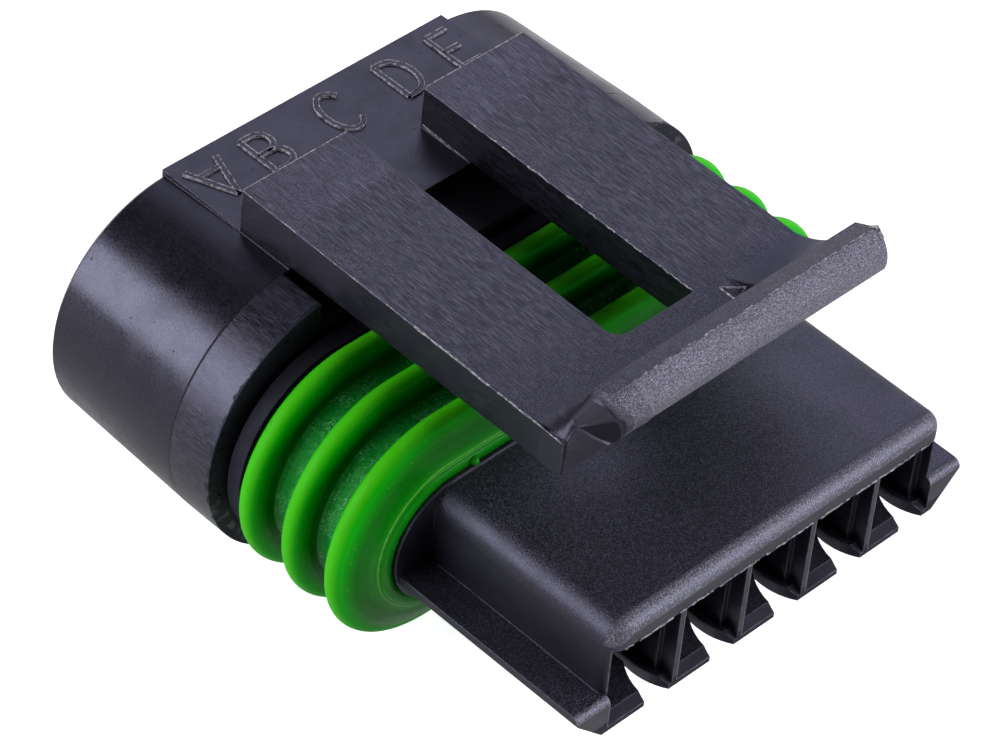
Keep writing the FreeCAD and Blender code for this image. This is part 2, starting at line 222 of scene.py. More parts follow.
plastic = {
    "dark": (0.0017, 0.0016, 0.0034, 1),
    "light": (0.1600, 0.1570, 0.2200, 1),
    "frontWearAndShineColour": (0.3400, 0.3350, 0.4100, 1),
    "scoop": (0.0090, 0.0080, 0.0380, 1),
    "pitSeamAndShade": (0.0020, 0.0020, 0.0030, 1),
    "rubAndShine": (0.300, 0.290, 0.360, 1),
    "sheenTint": (0.70, 0.68, 1.0, 1),
    "brushed": ((1.0, 0.06, 1.0), 0.050, 0.75),
    "speckle": ((1.0, 1.0, 1.0), 0.065, 0.7),
    "satin": ((1.0, 1.0, 1.0), 0.10, 0.5),
    "edgeRubAndShine": (0.00009, 0.8),
    "armGrain": 1.0,
    "bandGrain": 0.45,
    "noseGrain": 0.62,
    "lipGrain": 1.5,
    "shroudGrain": 0.05,
    "glint": (0.46, 0.73),
    "upward": (0.1, 0.7, 0.16, 1.0),
    "frontDots": 0.8,
    "patches": (0.45, 3.0),
    "patchEdge": (0.50, 0.62),
    "patchDots": (0.4, 0.2),
    "lipFoot": 9.85,
    "lipLean": 0.58,
    "lipEnd": (-20.0, -4.85, 0.12),
    "endTopLoss": 0.7,
    "endLipLoss": 0.88,
    "scoopShare": 0.55,
    "frontTurned": (-0.08, -0.35),
    "frontLifted": (0.05, 0.25),
    "frontGlint": (0.75, 0.10),
    "rubAndShineShare": (0.75, 0.22),
    "pitScale": 1.3,
    "pitEdge": (0.08, 0.05),
    "pitDepth": 0.6,
    "pitShare": 0.7,
    "seamDepth": 1.5,
    "seamShare": 0.9,
    "grainHeight": (0.8, 0.1),
    "mouthRagged": (2.0, 5.0, -1.1),
    "mouthLine": (12.0, 19.15, 0.03),
    "rimTurned": (-0.15, -0.45),
    "neckReach": 8.1,
    "neckOut": (-1.0, 6.2, 0.02),
    "mouthMatt": 0.4,
    "shroudGloss": 0.10,
    "topMatt": 0.14,
    "topTurned": (0.9, 0.98),
    "mottle": (0.6, 4.0),
    "rough": (0.35, 0.65, 0.28, 0.46),
    "softRadius": 0.00010,
    "softSamples": 4,
    "bumpDepth": 0.00003,
    "bend": 1.52,
}
plasticRegions = {
    "arms": {"z": (9.82, 12.6, 0.02), "y": (5.0, 25.35, 0.05)},
    "lip": {"y": (3.0, 6.8, 0.1), "z": (9.8, 16.0, 0.05)},
    "nose": {"y": (-1.0, 11.0, 0.1), "z": (-0.5, 6.2, 0.05)},
    "band": {"y": (19.4, 22.1, 0.03), "z": (-5.0, 9.8, 0.05)},
    "shroud": {"y": (22.1, 31.0, 0.03)},
    "nearFront": {"y": (0.0, 9.4, 1.2)},
    "seam": {"y": (22.07, 22.13, 0.025), "z": (-9.0, 9.72, 0.01)},
    "leftEdge": {"x": (-8.7, -8.2, 0.05), "z": (11.2, 13.0, 0.05)},
    "windowEdge": {"x": (2.0, 2.6, 0.05), "z": (11.2, 13.0, 0.05)},
    "frontEdge": {"y": (-0.2, 0.35, 0.05), "z": (-0.2, 5.2, 0.05)},
    "letterEdge": {"z": (9.76, 9.95, 0.01), "y": (26.5, 30.2, 0.05)},
    "noseFront": {"y": (-0.8, 1.2, 0.1)},
    "scoop": {"x": (4.6, 9.4, 0.9), "y": (5.2, 8.6, 1.0), "z": (11.7, 14.2, 0.1)},
    "mouth": {"z": (-5.0, 9.72, 0.02), "y": (15.0, 20.4, 0.02)},
    "behindBand": {"y": (18.0, 22.0, 0.02)},
    "rimFace": {"z": (-4.0, 0.6, 0.03), "y": (-0.6, 0.9, 0.03)},
    "tops": {"z": (9.0, 12.5, 0.1)},
}


def buildPlastic():
    v = plastic
    material, tree, shader, place = newMaterial("nylonBlack")
    axes = axesOf(tree, place)
    geometry = tree.nodes.new("ShaderNodeNewGeometry")
    normal = addNode(tree, "ShaderNodeSeparateXYZ", {0: geometry.outputs["True Normal"]}).outputs
    on = {name: inside(tree, axes, region) for name, region in plasticRegions.items()}

    # Rubbed lines along the arms, an even speckle on the nose and lip, smooth skin with pits on the shroud
    brushed, speckle, satin = (placeGrain(tree, place, v[name]) for name in ("brushed", "speckle", "satin"))
    patches = mapped(tree, clouds(tree, place, *v["patches"]), *v["patchEdge"])
    dotted = most(tree, times(tree, on["nearFront"], v["frontDots"]), scaled(tree, patches, *v["patchDots"]))
    lines = addNode(tree, "ShaderNodeMix", {0: dotted, 2: brushed["Height"], 3: speckle["Height"]}).outputs[0]
    ruled, even = most(tree, on["arms"], on["band"]), most(tree, on["nose"], on["lip"])
    rest = calc(tree, "SUBTRACT", 1.0, most(tree, ruled, even), clamp=True)
    grain = most(tree, times(tree, lines, ruled), times(tree, speckle["Height"], even),
                 times(tree, satin["Height"], rest))
    # Painted highlight: the grain's peaks are painted as glints in the light colour, mostly on faces turned
    # up, where the lamps fall
    glint = mapped(tree, grain, *v["glint"])
    upLitShare = mapped(tree, normal[2], *v["upward"])
    amount = most(tree, times(tree, on["arms"], v["armGrain"]), times(tree, on["nose"], v["noseGrain"]))
    amount = times(tree, amount, upLitShare)

    # The lip's left end is a darker, smoother skin
    aboveFoot = calc(tree, "SUBTRACT", axes["z"], v["lipFoot"])
    endLine = calc(tree, "ADD", axes["x"], times(tree, aboveFoot, v["lipLean"]))
    atEnd = times(tree, between(tree, endLine, *v["lipEnd"]), on["lip"])
    amount = times(tree, amount, calc(tree, "SUBTRACT", 1.0, times(tree, atEnd, v["endTopLoss"])))
    lipAmount = times(tree, on["lip"], calc(tree, "SUBTRACT", 1.0, times(tree, atEnd, v["endLipLoss"])))
    amount = most(tree, amount, times(tree, lipAmount, v["lipGrain"]),
                  times(tree, on["band"], v["bandGrain"]), v["shroudGrain"])
    glintAmount = calc(tree, "MULTIPLY", glint, amount, clamp=True)

    pits = addNode(tree, "ShaderNodeTexVoronoi", {"Vector": place, "Scale": v["pitScale"]})
    pitMask = times(tree, mapped(tree, pits.outputs["Distance"], *v["pitEdge"]), on["shroud"])
    height = times(tree, grain, scaled(tree, amount, *v["grainHeight"]))
    height = calc(tree, "SUBTRACT", height, times(tree, pitMask, v["pitDepth"]))
    height = calc(tree, "SUBTRACT", height, times(tree, on["seam"], v["seamDepth"]))

    # Edges painted bright, partly rubbed wear and partly painted highlight: strong on the latch's edges, the
    # nose's opening and the letters, faint elsewhere
    strong = most(tree, on["leftEdge"], on["windowEdge"], on["frontEdge"], on["letterEdge"])
    rubAndShine = placeEdgeMask(tree, place, v["edgeRubAndShine"])
    rubAndShineAmount = calc(tree, "MULTIPLY", rubAndShine, scaled(tree, strong, *v["rubAndShineShare"]), clamp=True)

    # The lip's front and the nose's front edge are painted lighter than the rest: a painted highlight on
    # faces turned to the front and up, with some rubbed wear
    turned, lifted = mapped(tree, normal[1], *v["frontTurned"]), mapped(tree, normal[2], *v["frontLifted"])
    frontRound = times(tree, on["nose"], on["noseFront"], lifted)
    frontWearAndShine = times(tree, most(tree, lipAmount, frontRound), turned, scaled(tree, glint, *v["frontGlint"]))

    # Painted shade behind the band, round the neck and on the cavity openings
    raggedScale, raggedDetail, raggedReach = v["mouthRagged"]
    ragged = times(tree, clouds(tree, place, raggedScale, raggedDetail), raggedReach)
    mouth = times(tree, between(tree, calc(tree, "ADD", axes["y"], ragged), *v["mouthLine"]), on["mouth"])
    reach = ovalReach(tree, axes["x"], axes["z"], v["neckReach"])
    behind = times(tree, on["behindBand"], between(tree, reach, *v["neckOut"]))
    rimFace = times(tree, on["rimFace"], mapped(tree, normal[1], *v["rimTurned"]))
    mouth = most(tree, mouth, behind, rimFace)

    colour = blendColour(tree, glintAmount, v["dark"], v["light"])
    colour = blendColour(tree, frontWearAndShine, colour, v["frontWearAndShineColour"])
    # Painted reflection: the scoop is painted a bluish sheen
    colour = blendColour(tree, times(tree, on["scoop"], v["scoopShare"]), colour, v["scoop"])
    colour = blendColour(tree, mouth, colour, v["pitSeamAndShade"])
    colour = blendColour(tree, rubAndShineAmount, colour, v["rubAndShine"])
    colour = blendColour(tree, times(tree, on["seam"], v["seamShare"]), colour, v["pitSeamAndShade"])
    colour = blendColour(tree, times(tree, pitMask, v["pitShare"]), colour, v["pitSeamAndShade"])

    mottle = times(tree, calc(tree, "ADD", clouds(tree, place, *v["mottle"]), grain), 0.5)
    rough = mapped(tree, mottle, *v["rough"])
    smooth = times(tree, most(tree, on["shroud"], on["band"]), v["shroudGloss"])
    rough = calc(tree, "SUBTRACT", rough, smooth)
    rough = calc(tree, "ADD", rough, times(tree, mouth, v["mouthMatt"]))
    topSide = times(tree, mapped(tree, normal[2], *v["topTurned"]), on["tops"])
    rough = calc(tree, "ADD", rough, times(tree, topSide, v["topMatt"]))
    soften = addNode(tree, "ShaderNodeBevel", {"Radius": v["softRadius"]}, samples=v["softSamples"])
    feedShader(tree, shader, colour, rough, height, v["bumpDepth"], normal=soften.outputs[0])
    shader.inputs["IOR"].default_value = v["bend"]
    shader.inputs["Specular Tint"].default_value = v["sheenTint"]
    return material


# Radii are measured out from the oval's middle line
silicone = {
    "grooveShade": (0.0005, 0.1000, 0.0008, 1),
    "bright": (0.0010, 0.4300, 0.0008, 1),
    "crown": (0.0620, 0.4700, 0.0050, 1),
    "floor": (0.0100, 0.3000, 0.0480, 1),
    "face": (0.0060, 0.2300, 0.0070, 1),
    "sparkle": (0.40, 0.85, 0.48, 1),
    "rubAndShine": (0.16, 0.56, 0.06, 1),
    "sheenTint": (0.42, 1.0, 0.38, 1),
    "sideReach": 9.0,
    "crest": (5.00, 5.60),
    "crownHighlightEdge": (5.72, 5.93),
    "valley": (4.72, 4.60),
    "valleys": {"y": (12.0, 40.0, 0.3)},
    "faces": {"y": (5.0, 12.0, 0.3)},
    "faceGroove": (0.0, 4.35, 0.2),
    "faceShare": (0.6, 0.4),
    "step": (3.96, 4.02, 0.02),
    "stepHighlightBand": {"y": (10.0, 11.2, 0.02)},
    "grain": ((1.0, 1.0, 1.0), 0.22, 0.6),
    "streaks": ((0.5, 3.0, 0.5), 0.5, 0.5),
    "glitter": ((1.0, 1.0, 1.0), 0.07, 0.8),
    "edgeRubAndShine": (0.00006, 0.5),
    "toneShare": 0.5,
    "tone": (0.3, 0.7, 0.75, 1.0),
    "crownHighlightShare": 0.75,
    "rubAndShineShare": 0.5,
    "specks": (0.56, 0.65),
    "speckShare": (0.9, 0.03),
    "speckPatches": (0.47, 1.2, 0.06),
    "bumpShare": (0.9, 0.12),
    "bumpDepth": 0.00010,
    "rough": (0.2, 1.3, 0.24, 0.50),
    "bend": 1.40,
    "shine": 0.24,
    "glow": 0.10,
    "glowRadius": (0.2, 1.0, 0.1),
    "glowScale": 0.0006,
}
rearSilicone = dict(silicone, sideReach=8.0, crest=(4.2, 4.9), crownHighlightEdge=(5.1, 5.3), valley=(0.5, 0.38),
                    valleys={"y": (20.0, 40.0, 0.3)}, faces={"y": (5.0, 20.0, 0.3)})
flashSilicone = dict(silicone, grooveShade=silicone["rubAndShine"], bright=silicone["rubAndShine"], crown=silicone["rubAndShine"])


def buildSilicone(name, v):
    material, tree, shader, place = newMaterial(name)
    axes = axesOf(tree, place)
    reach = ovalReach(tree, axes["x"], axes["z"], v["sideReach"])
    crest, crown = mapped(tree, reach, *v["crest"]), mapped(tree, reach, *v["crownHighlightEdge"])
    valley = times(tree, mapped(tree, reach, *v["valley"]), inside(tree, axes, v["valleys"]))
    grain, streaks, glitter = (placeGrain(tree, place, v[look]) for look in ("grain", "streaks", "glitter"))
    halfTone = times(tree, grain["Tone"], v["toneShare"])
    tone = mapped(tree, calc(tree, "ADD", halfTone, times(tree, streaks["Tone"], v["toneShare"])), *v["tone"])
    # Painted light and shade: crests out from the middle line are painted bright green as lit, the grooves
    # deep green as shaded, and the crown colour is a painted highlight along the top of each crest
    colour = blendColour(tree, times(tree, crest, tone), v["grooveShade"], v["bright"])
    colour = blendColour(tree, times(tree, crown, v["crownHighlightShare"]), colour, v["crown"])

    # The front face inside the first crest, with painted shade making it darker in the groove before its
    # raised lip
    onFace = times(tree, inside(tree, axes, v["faces"]), calc(tree, "SUBTRACT", 1.0, crest), tone)
    raised = scaled(tree, between(tree, reach, *v["faceGroove"]), *v["faceShare"])
    colour = blendColour(tree, times(tree, onFace, raised), colour, v["face"])
    # Groove floors painted a lighter, bluish green as painted light and sheen on lit glossy floors, mottled
    # by the grain
    colour = blendColour(tree, times(tree, valley, grain["Height"]), colour, v["floor"])
    # A painted highlight along the step at the raised lip's edge
    step = times(tree, between(tree, reach, *v["step"]), inside(tree, axes, v["stepHighlightBand"]))
    colour = blendColour(tree, times(tree, step, grain["Height"]), colour, v["rubAndShine"])
    # Edges turning outward painted bright, partly rubbed wear and partly painted highlight
    rubAndShine = placeEdgeMask(tree, place, v["edgeRubAndShine"])
    colour = blendColour(tree, times(tree, rubAndShine, v["rubAndShineShare"]), colour, v["rubAndShine"])
    # Painted sparkles: light specks in patches on the groove floors, standing in for glints
    specks = times(tree, mapped(tree, glitter["Height"], *v["specks"]),
                   scaled(tree, valley, *v["speckShare"]),
                   between(tree, grain["Tone"], *v["speckPatches"]))
    colour = blendColour(tree, specks, colour, v["sparkle"])

    rough = mapped(tree, calc(tree, "ADD", crest, halfTone), *v["rough"])
    height = times(tree, grain["Height"], scaled(tree, valley, *v["bumpShare"]))
    feedShader(tree, shader, colour, rough, height, v["bumpDepth"])
    shader.inputs["Subsurface Weight"].default_value = v["glow"]
    shader.inputs["Subsurface Radius"].default_value = v["glowRadius"]
    shader.inputs["Subsurface Scale"].default_value = v["glowScale"]
    shader.inputs["IOR"].default_value = v["bend"]
    shader.inputs["Specular IOR Level"].default_value = v["shine"]
    shader.inputs["Specular Tint"].default_value = v["sheenTint"]
    return material


brass = {
    "low": (0.42, 0.40, 0.36, 1), "high": (0.62, 0.60, 0.55, 1), "edge": (0.62, 0.45, 0.20, 1),
    "grain": ((1.0, 0.1, 1.0), 0.08, 0.6), "edgeRubAndShine": (0.00005, 0.6), "rough": (0.2, 0.42),
    "bumpDepth": 0.00001, "bumpStrength": 0.5,
}


def buildBrass():
    v = brass
    material, tree, shader, place = newMaterial("tinBrass")
    grain = placeGrain(tree, place, v["grain"])
    colour = blendColour(tree, grain["Tone"], v["low"], v["high"])
    colour = blendColour(tree, placeEdgeMask(tree, place, v["edgeRubAndShine"]), colour, v["edge"])
    rough = mapped(tree, grain["Height"], 0.0, 1.0, *v["rough"])
    feedShader(tree, shader, colour, rough, grain["Height"], v["bumpDepth"], v["bumpStrength"])
    shader.inputs["Metallic"].default_value = 1.0
    return material


# Bright nylon: the mould's flash with painted edge highlights, and painted highlights on the rims of the
# letters
brightNylon = {
    "nylonFlashAndShine": {"low": (0.045, 0.043, 0.060, 1), "high": (0.42, 0.41, 0.46, 1), "size": 0.16},
    "nylonRimShine": {"low": (0.025, 0.025, 0.035, 1), "high": (0.37, 0.36, 0.43, 1), "size": 0.20},
}
brightNylonLook = {"sharpness": 0.7, "bright": (0.40, 0.62), "rough": (0.25, 0.5), "bumpDepth": 0.00003}


def buildBrightNylon(name):
    v, look = brightNylon[name], brightNylonLook
    material, tree, shader, place = newMaterial(name)
    grain = placeGrain(tree, place, ((1.0, 1.0, 1.0), v["size"], look["sharpness"]))
    colour = blendColour(tree, mapped(tree, grain["Height"], *look["bright"]), v["low"], v["high"])
    rough = mapped(tree, grain["Tone"], 0.0, 1.0, *look["rough"])
    feedShader(tree, shader, colour, rough, grain["Height"], look["bumpDepth"])
    return material


plasticMaterial = buildPlastic()
flashAndShineMaterial = buildBrightNylon("nylonFlashAndShine")
rimShineMaterial = buildBrightNylon("nylonRimShine")
sealMaterial = buildSilicone("siliconeGreen", silicone)
rearSealMaterial = buildSilicone("siliconeGreenRear", rearSilicone)
sealFlashMaterial = buildSilicone("siliconeFlash", flashSilicone)
brassMaterial = buildBrass()
print("materials built")


def dress(node, material):
    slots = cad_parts[node].material_slots
    for index in range(len(slots)):
        slots[index].material = material


dress("housing", plasticMaterial)
for letter in "abcde":
    dress("terminal_" + letter, brassMaterial)


def addMesh(name, points, faces, material, smooth=True):
    mesh = bpy.data.meshes.new(name)
    mesh.from_pydata([(px * mm, py * mm, pz * mm) for px, py, pz in points], [], faces)
    mesh.validate()
    work = bmesh.new()
    work.from_mesh(mesh)
    bmesh.ops.recalc_face_normals(work, faces=work.faces)
    work.to_mesh(mesh)
    work.free()
    for face in mesh.polygons:
        face.use_smooth = smooth
    mesh.materials.append(material)
    piece = bpy.data.objects.new(name, mesh)
    scene.collection.objects.link(piece)
    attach(piece, "root")
    return piece


# A path round an oval with half-round ends: a centre on the row and a direction out from it
def ovalPath(straight, endSteps, sideSteps):
    path = []
    for side in (1, -1):
        for step in range(endSteps):
            turn = math.pi * step / endSteps - side * math.pi / 2
            path.append((side * straight, math.cos(turn), math.sin(turn)))
        for step in range(sideSteps):
            path.append((side * (straight - 2 * straight * step / sideSteps), 0.0, float(side)))
    return path


# An arc through three points
def arcPoints(start, middle, end, steps):
    (ax, ay), (bx, by), (cx, cy) = start, middle, end
    a, b, c = ax * ax + ay * ay, bx * bx + by * by, cx * cx + cy * cy
    d = 2 * (ax * (by - cy) + bx * (cy - ay) + cx * (ay - by))
    ux = (a * (by - cy) + b * (cy - ay) + c * (ay - by)) / d
    uy = (a * (cx - bx) + b * (ax - cx) + c * (bx - ax)) / d
    radius = math.hypot(ax - ux, ay - uy)
    first, mid, last = (math.atan2(py - uy, px - ux) for px, py in (start, middle, end))
    sweep = (last - first) % (2 * math.pi)
    if (mid - first) % (2 * math.pi) > sweep:
        sweep -= 2 * math.pi
    turns = [first + sweep * step / steps for step in range(steps + 1)]
    return [(ux + radius * math.cos(turn), uy + radius * math.sin(turn)) for turn in turns]


# Each list of points holds steps along Y and outward
ringSeal = {
    "straight": 9.0, "endSteps": 48, "sideSteps": 48, "inner": 3.32,
    "lipY": 10.95, "lipRadius": 3.85, "edge": 0.05,
    "front": 11.15, "lipPoints": [(-0.05, 0.05), (-0.06, 0.12), (0.0, 0.18)],
    "faceRadius": 4.35, "facePoints": [(0.02, 0.0), (0.10, 0.30), (0.24, 0.62), (0.33, 0.86)],
    "firstRib": 12.15, "ribPitch": 2.69, "ribs": 3, "crestRadius": 5.95, "crestHalf": 0.50, "crestDrop": 0.46,
    "crestSteps": 14, "footHalf": 0.74, "footPoints": [(-0.08, 0.25), (0.0, 0.06), (0.16, 0.0)],
    "floorRadius": 4.5, "valleyPoints": [(-0.12, 0.02), (0.0, 0.05), (0.12, 0.02)],
    "rear": 18.45, "rearPoints": [(-0.01, -0.02), (0.0, -0.05)],
}


def buildRingSeal():
    v = ringSeal
    shoulder, floor = v["crestRadius"] - v["crestDrop"], v["floorRadius"]
    section = [(v["lipY"], v["inner"]), (v["lipY"], v["lipRadius"] - v["edge"]),
               (v["lipY"] + v["edge"], v["lipRadius"])]
    section += [(v["front"] + along, v["lipRadius"] + out) for along, out in v["lipPoints"]]
    section += [(v["front"] + along, v["faceRadius"] + out) for along, out in v["facePoints"]]
    for index in range(v["ribs"]):
        crest = v["firstRib"] + index * v["ribPitch"]
        if index > 0:
            foot = reversed(v["footPoints"])
            section += [(crest - v["footHalf"] - along, floor + up) for along, up in foot]
        section += arcPoints((crest - v["crestHalf"], shoulder), (crest, v["crestRadius"]),
                             (crest + v["crestHalf"], shoulder), v["crestSteps"])
        section += [(crest + v["footHalf"] + along, floor + up) for along, up in v["footPoints"]]
        if index < v["ribs"] - 1:
            middle = crest + v["ribPitch"] / 2
            section += [(middle + along, floor + up) for along, up in v["valleyPoints"]]
    section += [(v["rear"] + along, floor + up) for along, up in v["rearPoints"]] + [(v["rear"], v["inner"])]
    path = ovalPath(v["straight"], v["endSteps"], v["sideSteps"])
    points = [(centre + dx * radius, y, axisZ + dz * radius)
              for centre, dx, dz in path for y, radius in section]
    count = len(section)
    faces = []
    for ring in range(len(path)):
        here, there = ring * count, (ring + 1) % len(path) * count
        for step in range(count):
            following = (step + 1) % count
            faces.append((here + step, here + following, there + following, there + step))
    piece = addMesh("ringSealRubber", points, faces, sealMaterial)
    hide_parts("ring_seal")


buildRingSeal()
print("ring seal built")

wireSeal = {
    "straight": 8.0, "endSteps": 32, "sideSteps": 40, "front": 24.2, "rear": 29.0, "core": 4.85, "edge": 0.05,
    "crest": 5.28, "ribs": 3, "ribHalf": 0.5, "ribSteps": 8, "sharpAngle": 35,
    "bores": 5, "pitch": 4.0, "bore": 0.85, "around": 32, "mouth": 1.25, "mouthDepth": 0.6, "mouthPast": 0.02,
    "toolPast": 1.0, "toolFlare": 0.6,
}


# Faces between rings of points, where either the row of rings is closed or each ring is
def skinRings(work, rings, closed):
    rounds = rings if closed else rings[:-1]
    for index, here in enumerate(rounds):
        there = rings[(index + 1) % len(rings)]
        for step in range(len(here) - 1 if closed else len(here)):
            following = (step + 1) % len(here)
            work.faces.new((here[step], here[following], there[following], there[step]))


def buildWireSeal():
    v = wireSeal
    pitch = (v["rear"] - v["front"]) / v["ribs"]
    section = [(v["front"], v["core"] - v["edge"]), (v["front"] + v["edge"], v["core"])]
    for index in range(v["ribs"]):
        middle = v["front"] + (index + 0.5) * pitch
        section += arcPoints((middle - v["ribHalf"], v["core"]), (middle, v["crest"]),
                             (middle + v["ribHalf"], v["core"]), v["ribSteps"])
    section += [(v["rear"] - v["edge"], v["core"]), (v["rear"], v["core"] - v["edge"])]
    path = ovalPath(v["straight"], v["endSteps"], v["sideSteps"])
    mesh = bpy.data.meshes.new("wireSealRubber")
    work = bmesh.new()
    rings = []
    for centre, dx, dz in path:
        rings.append([work.verts.new(((centre + dx * r) * mm, y * mm, (axisZ + dz * r) * mm))
                      for y, r in section])
    skinRings(work, rings, True)
    work.faces.new([ring[0] for ring in rings])
    work.faces.new([ring[-1] for ring in reversed(rings)])
    bmesh.ops.recalc_face_normals(work, faces=work.faces)
    work.to_mesh(mesh)
    work.free()
    mesh.materials.append(rearSealMaterial)
    piece = bpy.data.objects.new("wireSealRubber", mesh)
    scene.collection.objects.link(piece)

    # The bores are turned like a tool that opens out at the rear face
    profile = [(v["front"] - v["toolPast"], v["bore"]), (v["rear"] - v["mouthDepth"], v["bore"]),
               (v["rear"] + v["mouthPast"], v["mouth"]),
               (v["rear"] + v["toolPast"], v["mouth"] + v["toolFlare"])]
    cutter = bpy.data.meshes.new("boreTool")
    work = bmesh.new()
    turns = [2 * math.pi * step / v["around"] for step in range(v["around"])]
    for index in range(v["bores"]):
        centre = (index - (v["bores"] - 1) / 2) * v["pitch"]
        rings = []
        for y, radius in profile:
            rings.append([work.verts.new(((centre + radius * math.cos(turn)) * mm, y * mm,
                                          (axisZ + radius * math.sin(turn)) * mm)) for turn in turns])
        skinRings(work, rings, False)
        work.faces.new(list(reversed(rings[0])))
        work.faces.new(rings[-1])
    bmesh.ops.recalc_face_normals(work, faces=work.faces)
    work.to_mesh(cutter)
    work.free()
    tool = bpy.data.objects.new("boreTool", cutter)
    scene.collection.objects.link(tool)
    cut = piece.modifiers.new("bores", "BOOLEAN")
    cut.object = tool
    cut.operation = "DIFFERENCE"
    cut.solver = "EXACT"
    bpy.context.view_layer.update()
    done = bpy.data.meshes.new_from_object(piece.evaluated_get(bpy.context.evaluated_depsgraph_get()))
    piece.modifiers.clear()
    piece.data = done
    bpy.data.objects.remove(tool)
    for face in done.polygons:
        face.use_smooth = True
    done.set_sharp_from_angle(angle=math.radians(v["sharpAngle"]))
    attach(piece, "root")
    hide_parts("wire_seal")


buildWireSeal()
print("wire seal built")

# Shares of a bar's width at its foot and crown, and how far its foot sinks into the face
barShape = {"foot": 0.5, "crown": 0.24, "sink": -0.05}


# Low bars with sloping sides that follow paths over a face, all in one mesh
def addBars(name, bars, material, ragged=0.0, seed=1):
    foot, crown, sink = barShape["foot"], barShape["crown"], barShape["sink"]
    dice = random.Random(seed)
    points, faces = [], []
    for path, up, width, height in bars:
        lift = Vector(up).normalized()
        start = len(points)
        for index, spot in enumerate(path):
            ahead = Vector(path[min(index + 1, len(path) - 1)])
            behind = Vector(path[max(index - 1, 0)])
            side = (ahead - behind).normalized().cross(lift)
            wide = width * (1 + ragged * dice.uniform(-1, 1))
            tall = height * (1 + ragged * dice.uniform(-1, 1))
            for across, rise in ((-foot, sink), (-crown, tall), (crown, tall), (foot, sink)):
                points.append(tuple(Vector(spot) + side * (across * wide) + lift * rise))
        for index in range(len(path) - 1):
            here = start + index * 4
            for step in range(4):
                following = (step + 1) % 4
                faces.append((here + step, here + following, here + following + 4, here + step + 4))
        last = len(points) - 4
        faces.append((start, start + 1, start + 2, start + 3))
        faces.append((last + 3, last + 2, last + 1, last))
    return addMesh(name, points, faces, material, smooth=False)


# Dashes of uneven length that wander about a straight line
def dashedPaths(start, end, step, gap, wander, dice):
    first, last = Vector(start), Vector(end)
    count = max(int((last - first).length / step), 2)
    paths, path = [], []
    for index in range(count + 1):
        spot = first.lerp(last, index / count)
        if dice.random() < gap:
            if len(path) > 1:
                paths.append(path)
            path = []
        else:
            path.append(tuple(spot + Vector([offset * dice.uniform(-1, 1) for offset in wander])))
    if len(path) > 1:
        paths.append(path)
    return paths


def curvedPath(centre, reach, turn, steps, z):
    turns = [math.radians(turn[0] + (turn[1] - turn[0]) * step / steps) for step in range(steps + 1)]
    return [(centre[0] + reach[0] * math.cos(a), centre[1] + reach[1] * math.sin(a), z) for a in turns]


def shiftedPath(path, shift, lift):
    moved = []
    for index, (px, py, pz) in enumerate(path):
        ahead, behind = path[min(index + 1, len(path) - 1)], path[max(index - 1, 0)]
        dx, dy = ahead[0] - behind[0], ahead[1] - behind[1]
        length = max(math.hypot(dx, dy), 0.0001)
        moved.append((px + dy / length * shift, py - dx / length * shift, pz + lift))
    return moved


# Heights and strokes of the letters A to E, with places along X
letters = {
    "z": 9.75, "front": 27.08, "rear": 29.55, "width": 0.30, "height": 0.09,
    "rimOut": 0.115, "rimLift": 0.03, "rimWidth": 0.085, "rimHeight": 0.075, "rimRagged": 0.25, "rimSeed": 2,
    "aFeet": (-7.95, -6.10), "aTop": -6.93, "aBar": (-7.55, -6.36), "aBarY": 28.93,
    "bStem": -4.68, "bRear": (-4.05, 0.62), "bFrontStart": -4.10, "bFront": (-4.0, 0.66),
    "bRearTurn": (90, -90), "bFrontTurn": (80, -90), "bSteps": 8,
    "c": (0.2, 0.80), "cTaller": 0.1, "cTurn": (40, 320), "cSteps": 16,
    "dStem": 3.36, "d": (3.75, 0.95), "dTurn": (90, -90), "dSteps": 12,
    "eStem": 6.62, "eEnd": 7.85, "eMiddleEnd": 7.6,
}


# Position letters beside the five cavities, raised on the pad
def buildLetters():
    v = letters
    z, front, rear = v["z"], v["front"], v["rear"]
    middle, half = (front + rear) / 2, (rear - front) / 2

    def bow(letter, y, tall, turn, steps):
        return curvedPath((letter[0], y), (letter[1], tall), turn, steps, z)

    paths = [[(foot, rear, z), (v["aTop"], front, z)] for foot in v["aFeet"]]
    paths.append([(x, v["aBarY"], z) for x in v["aBar"]])
    stem = v["bStem"]
    paths.append([(stem, front, z), (stem, rear, z)])
    rearBow = bow(v["bRear"], middle + half / 2, half / 2, v["bRearTurn"], v["bSteps"])
    paths.append([(stem, rear, z)] + rearBow + [(stem, middle, z)])
    frontBow = bow(v["bFront"], middle - half / 2, half / 2, v["bFrontTurn"], v["bSteps"])
    paths.append([(v["bFrontStart"], middle, z)] + frontBow + [(stem, front, z)])
    paths.append(bow(v["c"], middle, half + v["cTaller"], v["cTurn"], v["cSteps"]))
    stem = v["dStem"]
    paths.append([(stem, front, z), (stem, rear, z)])
    paths.append([(stem, rear, z)] + bow(v["d"], middle, half, v["dTurn"], v["dSteps"]) + [(stem, front, z)])
    stem = v["eStem"]
    paths.append([(stem, front, z), (stem, rear, z)])
    for y, end in ((rear, v["eEnd"]), (middle, v["eMiddleEnd"]), (front, v["eEnd"])):
        paths.append([(stem, y, z), (end, y, z)])

    up = (0, 0, 1)
    bars = [(path, up, v["width"], v["height"]) for path in paths]
    addBars("cavityLetters", bars, plasticMaterial)
    # Thin bright bars beside each stroke: painted highlights where the strokes' sides catch the light
    rims = []
    for path in paths:
        for shift in (v["rimOut"], -v["rimOut"]):
            rims.append((shiftedPath(path, shift, v["rimLift"]), up, v["rimWidth"], v["rimHeight"]))
    addBars("letterRimShine", rims, rimShineMaterial, ragged=v["rimRagged"], seed=v["rimSeed"])


buildLetters()
print("letters built")

